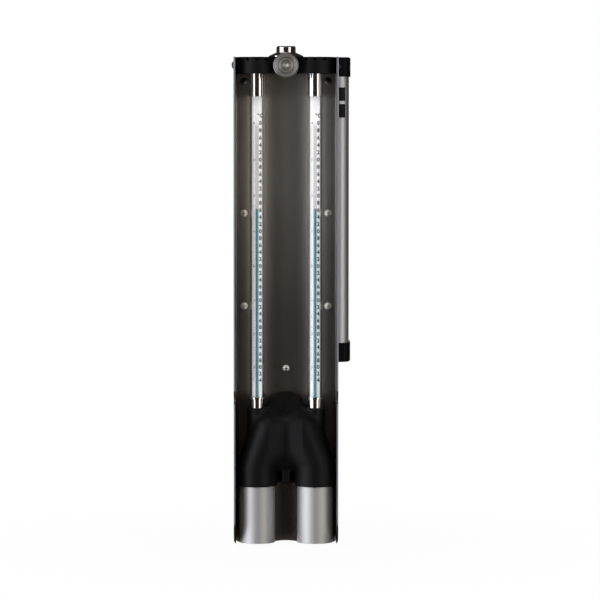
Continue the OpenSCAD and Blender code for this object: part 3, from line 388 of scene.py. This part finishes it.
finishes = {
    # the channel: dim warm grey with painted shade downwards, a painted highlight on the walls'
    # front edges, and the strips' painted glow mirrored beside the tubes
    "steel_sheet": brushedStainless(brushedSettings),
    # the thumbscrew: a grey disc with rings
    "turned_steel": turnedSteel(turnedSettings),
    # ferrules and stud: white and black stripes with soft ends
    "chrome": grainedMetal("polishedChrome", {
        "colour": ("#dcdcdc", "#e4e2df"), "grainsPerMm": (0.6, 0.6, 0.6),
        "roughness": (0.05, 0.08), "bump": 0.01, "edge": 0.0003}),
    # pan heads: bright, with painted shade in the cross and a painted shadow of the bracket on
    # the top ones
    "screw_steel": grainedMetal("nickelledSteel", {
        "colour": ("#e0dad0", "#f2ede4"), "grainsPerMm": (0.9, 0.9, 0.9),
        "roughness": (0.26, 0.34), "bump": 0.05,
        "paintedRecessShade": 0.0012, "shade": (-0.05, -0.035, 0.2)}),
    # shields: broad soft highlights with a fine sparkle
    "satin_aluminium": grainedMetal("blastedAluminium", {
        "colour": ("#cfcfce", "#dededd"), "grainsPerMm": (2.2, 2.2, 2.2),
        "roughness": (0.54, 0.64), "bump": 0.2}),
    # casing: clean silver with faint lines along it
    "extrusion": grainedMetal("extrudedAluminium", {
        "colour": ("#d6d8dc", "#e2e4e8"), "grainsPerMm": (1.5, 1.5, 0.02),
        "roughness": (0.48, 0.56), "bump": 0.08}),
    # inner shields: shinier than the outer ones
    "bright_aluminium": grainedMetal("drawnAluminium", {
        "colour": ("#c6c6c4", "#d2d2cf"), "grainsPerMm": (1.8, 1.8, 0.03),
        "roughness": (0.2, 0.3), "bump": 0.05}),
    # inserts: a yellow metal
    "brass": grainedMetal("turnedBrass", {
        "colour": ("#b08d4e", "#c4a061"), "grainsPerMm": (1.5, 1.5, 1.5),
        "roughness": (0.22, 0.34), "bump": 0.05}),
    # motor: a zinc-plated can, darker than the screws
    "motor_metal": grainedMetal("platedCan", {
        "colour": ("#8f9091", "#a2a3a4"), "grainsPerMm": (0.7, 0.7, 0.7),
        "roughness": (0.25, 0.35), "bump": 0.04}),
    # battery contacts: a yellowish nickel
    "contact_steel": grainedMetal("platedSpring", {
        "colour": ("#b9b6a6", "#cbc8ba"), "grainsPerMm": (0.9, 0.9, 0.9),
        "roughness": (0.22, 0.32), "bump": 0.04}),
    # cells: a plain green foil jacket
    "cell_jacket": grainedMetal("cellJacket", {
        "colour": ("#2f5047", "#38604f"), "grainsPerMm": (0.7, 0.7, 0.06),
        "roughness": (0.28, 0.36), "bump": 0.03}),
    # manifold, bracket and caps: deep black with a dull sheen
    "black_plastic": mouldedPlastic("blackAbs", {
        "colour": ("#070708", "#0b0b0c"), "grainMm": 0.4,
        "roughness": (0.44, 0.54), "bump": 0.12, "specular": 0.17}),
    # inner mouldings: a dark grey that tells them from the black
    "grey_plastic": mouldedPlastic("greyAbs", {
        "colour": ("#2c2c2e", "#343436"), "grainMm": 0.4,
        "roughness": (0.42, 0.52), "bump": 0.12}),
    # keys: the blackest of all
    "key_plastic": mouldedPlastic("keyAbs", {
        "colour": ("#030303", "#060606"), "grainMm": 0.3,
        "roughness": (0.45, 0.55), "bump": 0.1, "specular": 0.2}),
    # blower wheel and spacers: off-white
    "wheel_plastic": mouldedPlastic("whiteNylon", {
        "colour": ("#d0d0cb", "#dadad6"), "grainMm": 0.5,
        "roughness": (0.36, 0.44), "bump": 0.08}),
    # seals: matt black
    "black_rubber": mouldedPlastic("nitrileRubber", {
        "colour": ("#131313", "#1b1b1b"), "grainMm": 0.3,
        "roughness": (0.6, 0.72), "bump": 0.2}),
    # leads: red, smooth
    "wire_jacket": mouldedPlastic("wireJacket", {
        "colour": ("#8f1d1a", "#a32521"), "grainMm": 0.5,
        "roughness": (0.35, 0.45), "bump": 0.05}),
    # wick: rough off-white cloth
    "wick_cotton": mouldedPlastic("cottonWick", {
        "colour": ("#dcd8cc", "#ece9df"), "grainMm": 0.5,
        "roughness": (0.85, 0.95), "bump": 0.6}),
    # strips: white, with backs that glow as painted light, which the plate behind them mirrors
    "milk_glass": mouldedPlastic("opalGlass", {
        "colour": ("#dfdfdf", "#e6e6e6"), "grainMm": 2,
        "roughness": (0.3, 0.36), "bump": 0.01, "ior": 1.5, "paintedBackGlow": 1.1}),
    # liquid: a flat teal
    "teal_liquid": mouldedPlastic("tealSpirit", {
        "colour": ("#007f90", "#048b9c"), "grainMm": 4,
        "roughness": (0.42, 0.48), "specular": 0.3, "bump": 0.0, "ior": 1.36}),
    # sheaths: clear, with bright edges
    "clear_glass": drawnGlass("sheathGlass", {"colour": "#fdfdfd", "ior": 1.35}),
    # capillaries: a slightly darker band before the strip
    "capillary_glass": drawnGlass("capillaryGlass", {"colour": "#f4f3f2", "ior": 1.12}),
}

ownFinish = {"casing": "extrusion"}  # aluminium like the shields, but with the die's lines
for part in frame["record"]["subparts"]:
    mesh = nodes[part["node"]].data
    mesh.materials.clear()
    mesh.materials.append(finishes[ownFinish.get(part["node"], part["material_slot"])])
print("finishes on every node:", len(finishes))


def addPiece(name, mesh, material):
    mesh.materials.append(material)
    piece = bpy.data.objects.new(name, mesh)
    bpy.context.scene.collection.objects.link(piece)
    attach(piece, "frame")
    return piece


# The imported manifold, remeshed so that its folds are soft as in the moulding

manifoldLook = {
    "voxel": 0.0008,
    "rounds": 6,
    "foldRounds": 40,
    "middleRounds": 220,
    "middleHalf": 0.013,  # half the width of the middle fold that they reach
    "collarRim": 0.0025,  # how far below its top edge the soft part begins
    "socketRim": 0.014,   # how far above its lower edge it ends
    "sharpAngle": 60,     # degrees at which an edge stays sharp
}


# The CAD mesh merged and made of even cells, ready to be smoothed
def evenCells(name, voxel):
    shape = bmesh.new()
    shape.from_mesh(nodes[name].data)
    bmesh.ops.remove_doubles(shape, verts=shape.verts, dist=1e-7)
    mesh = bpy.data.meshes.new(name + "Raw")
    shape.to_mesh(mesh)
    shape.free()
    rough = bpy.data.objects.new(name + "Raw", mesh)
    bpy.context.scene.collection.objects.link(rough)
    remesh = rough.modifiers.new("remesh", "REMESH")
    remesh.mode = "VOXEL"
    remesh.voxel_size = voxel
    evaluated = rough.evaluated_get(bpy.context.evaluated_depsgraph_get())
    shape = bmesh.new()
    shape.from_mesh(evaluated.to_mesh())
    evaluated.to_mesh_clear()
    bpy.data.objects.remove(rough)
    return shape


# A bmesh made into a mesh, round where its faces meet at less than the angle
def finishMesh(shape, name, angle):
    bmesh.ops.recalc_face_normals(shape, faces=shape.faces)
    for face in shape.faces:
        face.smooth = True
    for edge in shape.edges:
        edge.smooth = len(edge.link_faces) < 2 or edge.calc_face_angle(0) < math.radians(angle)
    mesh = bpy.data.meshes.new(name)
    shape.to_mesh(mesh)
    shape.free()
    return mesh


def softManifold(s):
    shape = evenCells("manifold", s["voxel"])
    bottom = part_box("manifold")[0].z + s["socketRim"]
    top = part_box("collar_seal_left")[1].z - s["collarRim"]
    folds = [v for v in shape.verts if bottom < v.co.z < top]
    middle = [v for v in folds if abs(v.co.x) < s["middleHalf"] and v.normal.y < 0]
    for rounds, part in ((s["rounds"], shape.verts), (s["foldRounds"], folds),
                         (s["middleRounds"], middle)):
        for i in range(rounds):
            bmesh.ops.smooth_vert(shape, verts=part, factor=0.5,
                                  use_axis_x=True, use_axis_y=True, use_axis_z=True)
    mesh = finishMesh(shape, "manifoldMoulding", s["sharpAngle"])
    piece = addPiece("manifoldMoulding", mesh, finishes["black_plastic"])
    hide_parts("manifold")
    print("manifold moulding:", len(mesh.polygons), "faces")


softManifold(manifoldLook)


# Scales: ticks every half degree, a figure every second degree and a tens figure

scaleMarks = {
    "warmest": 40,
    "coldest": -34,
    "zero": -0.1739,          # where nought stands
    "perDegree": (0.00274, 0.00000224),  # the bore widens upwards, so steps shrink going down
    "figureSize": 0.0043,
    "figureRight": 0.0026,    # from the strip's middle
    "stroke": 0.00019,        # what makes the figures bold
    "tensSize": 0.0034,
    "tensRight": -0.0024,
    "unit": "°C",
    "unitAbove": 0.0058,      # over the warmest mark
    "tickLeft": -0.0037,
    "ticks": {"half": 0.0013, "one": 0.0018, "ten": 0.0023},
    "tickHeight": 0.0003,
    "lift": 0.00003,          # the print stands this far off the strip
    "ink": "#141315",
    "paleInk": "#3e3e44",
    "inkRoughness": 0.5,
    "patchesPerMm": 1.5,
    "faded": 1.25,            # its lightest spots against its colour
}


# Printer's ink: nearly black, a little patchy
def inkMaterial(name, colour, s):
    material, tree, shader = startMaterial(name, {"Roughness": s["inkRoughness"]})
    place = addNode(tree, "ShaderNodeTexCoord").outputs["Object"]
    patchy = addNode(tree, "ShaderNodeTexNoise", {"Scale": 1000 * s["patchesPerMm"]},
                     {"Vector": place})
    deep = linear(colour)
    faded = tuple(min(1, c * s["faded"]) for c in deep[:3]) + (1,)
    tone = addNode(tree, "ShaderNodeMix", {"data_type": "RGBA", 6: deep, 7: faded},
                   {"Factor": patchy.outputs["Fac"]})
    tree.links.new(tone.outputs[2], shader.inputs["Base Color"])
    return material


def markHeight(s, degrees):
    first, second = s["perDegree"]
    return s["zero"] + first * degrees + second * degrees * degrees


# One figure as flat faces, centred on its place
def addFigure(shape, text, size, centre, stroke=0.0):
    curve = bpy.data.curves.new("figure", "FONT")
    curve.body = text
    curve.size = size
    curve.offset = stroke
    curve.resolution_u = 2
    curve.align_x = "CENTER"
    curve.align_y = "CENTER"
    holder = bpy.data.objects.new("figure", curve)
    bpy.context.scene.collection.objects.link(holder)
    flat = holder.evaluated_get(bpy.context.evaluated_depsgraph_get())
    mesh = bpy.data.meshes.new_from_object(flat)
    mesh.transform(Matrix.Translation(centre) @ Matrix.Rotation(math.radians(90), 4, "X"))
    shape.from_mesh(mesh)
    bpy.data.objects.remove(holder)
    bpy.data.curves.remove(curve)
    bpy.data.meshes.remove(mesh)


def addTick(shape, left, right, y, z, height):
    low, high = z - height / 2, z + height / 2
    corners = [(left, y, low), (right, y, low), (right, y, high), (left, y, high)]
    shape.faces.new([shape.verts.new(c) for c in corners])


def dressScale(side, s, dark, pale):
    low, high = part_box("scale_" + side)
    middle = (low.x + high.x) / 2
    front = low.y - s["lift"]
    left = middle + s["tickLeft"]
    figures, tens = bmesh.new(), bmesh.new()
    for half in range(2 * s["coldest"], 2 * s["warmest"] + 1):
        z = markHeight(s, half / 2)
        shown = abs(int(half / 2))
        kind = "ten" if half % 20 == 0 else "one" if half % 2 == 0 else "half"
        addTick(tens, left, left + s["ticks"][kind], front, z, s["tickHeight"])
        if half % 4 == 0:
            place = (middle + s["figureRight"], front, z)
            addFigure(figures, str(shown % 10), s["figureSize"], place, s["stroke"])
        if half % 20 == 0:
            place = (middle + s["tensRight"], front, z)
            addFigure(tens, str(shown // 10), s["tensSize"], place)
    above = markHeight(s, s["warmest"]) + s["unitAbove"]
    place = (middle + s["figureRight"], front, above)
    addFigure(figures, s["unit"], s["figureSize"], place, s["stroke"])
    for name, shape, ink in (("figures_" + side, figures, dark), ("ticks_" + side, tens, pale)):
        mesh = bpy.data.meshes.new(name)
        shape.to_mesh(mesh)
        shape.free()
        addPiece(name, mesh, ink)


darkInk = inkMaterial("darkInk", scaleMarks["ink"], scaleMarks)
paleInk = inkMaterial("paleInk", scaleMarks["paleInk"], scaleMarks)
for side in ("left", "right"):
    dressScale(side, scaleMarks, darkInk, paleInk)
print("scales dressed")


# Pale floor and backdrop, softboxes at both sides, above and behind, and a dark room

studio = {
    "floor": 0.0012,           # below the lowest point
    "floorSize": 14.0,
    "floorColour": "#efefef",
    "floorRoughness": (0.78, 0.86),
    "floorMottle": 3.0,        # spots to the metre
    "floorWhite": (0.9, 1.0),  # share of plain white near the object and far off
    "fade": (0.15, 0.6),       # where that share changes, from the object's axis
    "target": (0, 0, -0.2),
    "boxes": {
        "leftSoftbox": {"angle": -56, "distance": 1.7, "height": 0.0,
                        "size": (1.45, 1.9), "power": 23, "colour": "#f6f7ff"},
        "rightSoftbox": {"angle": 44, "distance": 1.8, "height": 0.0,
                         "size": (0.8, 1.9), "power": 9, "colour": "#fffaf4"},
        "topSoftbox": {"angle": -8, "distance": 1.1, "height": 1.5,
                       "size": (1.2, 0.8), "power": 7, "colour": "#ffffff"},
        "rearLeftSoftbox": {"angle": -148, "distance": 1.8, "height": -0.36,
                            "size": (1.2, 1.0), "power": 7, "colour": "#fcfcff"},
        "rearRightSoftbox": {"angle": 168, "distance": 1.8, "height": -0.36,
                             "size": (1.2, 1.0), "power": 7, "colour": "#fcfcff"},
    },
    "roomLight": 0.55,
    "darkRoom": "#2f2926",     # what metal mirrors all round the object
}


# A lamp at its angle round the object, counted from the front to the right
def softbox(name, s, target):
    data = bpy.data.lights.new(name, "AREA")
    data.shape = "RECTANGLE"
    data.size, data.size_y = s["size"]
    data.energy = s["power"]
    data.color = linear(s["colour"])[:3]
    lamp = bpy.data.objects.new(name, data)
    turn, distance = math.radians(s["angle"]), s["distance"]
    lamp.location = target + Vector((
        math.sin(turn) * distance, -math.cos(turn) * distance, s["height"]))
    lamp.rotation_euler = (target - lamp.location).to_track_quat("-Z", "Y").to_euler()
    bpy.context.scene.collection.objects.link(lamp)


# Painted board: white to the eye and through glass, with the object's soft shadow
def floorMaterial(s):
    material, tree, shader = startMaterial("paleFloor", {"Base Color": linear(s["floorColour"])})
    place = addNode(tree, "ShaderNodeTexCoord").outputs["Object"]
    mottle = addNode(tree, "ShaderNodeTexNoise", {"Scale": s["floorMottle"]}, {"Vector": place})
    rough = addNode(tree, "ShaderNodeMapRange", {
        "To Min": s["floorRoughness"][0], "To Max": s["floorRoughness"][1]},
        {"Value": mottle.outputs["Fac"]})
    tree.links.new(rough.outputs[0], shader.inputs["Roughness"])
    white = addNode(tree, "ShaderNodeEmission", {"Color": (1, 1, 1, 1), "Strength": 1.0})
    away = addNode(tree, "ShaderNodeVectorMath", {"operation": "LENGTH"}, {0: place})
    plain = addNode(tree, "ShaderNodeMapRange", {
        "interpolation_type": "SMOOTHSTEP",
        "From Min": s["fade"][0], "From Max": s["fade"][1],
        "To Min": s["floorWhite"][0], "To Max": s["floorWhite"][1]},
        {"Value": away.outputs["Value"]})
    path = addNode(tree, "ShaderNodeLightPath")
    seen = addNode(tree, "ShaderNodeMath", {"operation": "MAXIMUM"},
                   {0: path.outputs["Is Camera Ray"], 1: path.outputs["Is Transmission Ray"]})
    share = addNode(tree, "ShaderNodeMath", {"operation": "MULTIPLY"},
                    {0: seen.outputs[0], 1: plain.outputs[0]})
    direct = addNode(tree, "ShaderNodeMixShader", None, {
        0: share.outputs[0], 1: shader.outputs[0], 2: white.outputs[0]})

    # mirrors don't show it, and it doesn't stop the lamps' light
    through = addNode(tree, "ShaderNodeBsdfTransparent")
    hidden = addNode(tree, "ShaderNodeMath", {"operation": "MAXIMUM"},
                     {0: path.outputs["Is Glossy Ray"], 1: path.outputs["Is Shadow Ray"]})
    mixed = addNode(tree, "ShaderNodeMixShader", None, {
        0: hidden.outputs[0], 1: direct.outputs[0], 2: through.outputs[0]})
    tree.links.new(mixed.outputs[0], tree.nodes["Material Output"].inputs["Surface"])
    return material


def makeFloor(s):
    shape = bmesh.new()
    bmesh.ops.create_grid(shape, x_segments=1, y_segments=1, size=s["floorSize"])
    bmesh.ops.translate(shape, verts=shape.verts, vec=(0, 0, cadBox[0][2] - s["floor"]))
    mesh = bpy.data.meshes.new("studioFloor")
    shape.to_mesh(mesh)
    shape.free()
    mesh.materials.append(floorMaterial(s))
    floor = bpy.data.objects.new("studioFloor", mesh)
    bpy.context.scene.collection.objects.link(floor)


# White to the eye, dim light on the object, dark in its mirrors
def makeRoom(s):
    world = bpy.data.worlds.new("studioRoom")
    world.use_nodes = True
    tree = world.node_tree
    tree.nodes.clear()
    path = addNode(tree, "ShaderNodeLightPath")
    seen = addNode(tree, "ShaderNodeMath", {"operation": "MAXIMUM"},
                   {0: path.outputs["Is Camera Ray"], 1: path.outputs["Is Transmission Ray"]})
    dim = addNode(tree, "ShaderNodeBackground", {
        "Color": (1, 1, 1, 1), "Strength": s["roomLight"]})
    dark = addNode(tree, "ShaderNodeBackground", {
        "Color": linear(s["darkRoom"]), "Strength": 1.0})
    white = addNode(tree, "ShaderNodeBackground", {"Color": (1, 1, 1, 1), "Strength": 1.0})
    unseen = addNode(tree, "ShaderNodeMixShader", None, {
        0: path.outputs["Is Glossy Ray"], 1: dim.outputs[0], 2: dark.outputs[0]})
    around = addNode(tree, "ShaderNodeMixShader", None, {
        0: seen.outputs[0], 1: unseen.outputs[0], 2: white.outputs[0]})
    addNode(tree, "ShaderNodeOutputWorld", None, {"Surface": around.outputs[0]})
    bpy.context.scene.world = world


makeFloor(studio)
makeRoom(studio)
for name, box in studio["boxes"].items():
    softbox(name, box, Vector(studio["target"]))
bpy.context.scene.view_settings.view_transform = "Standard"
print("studio lit")
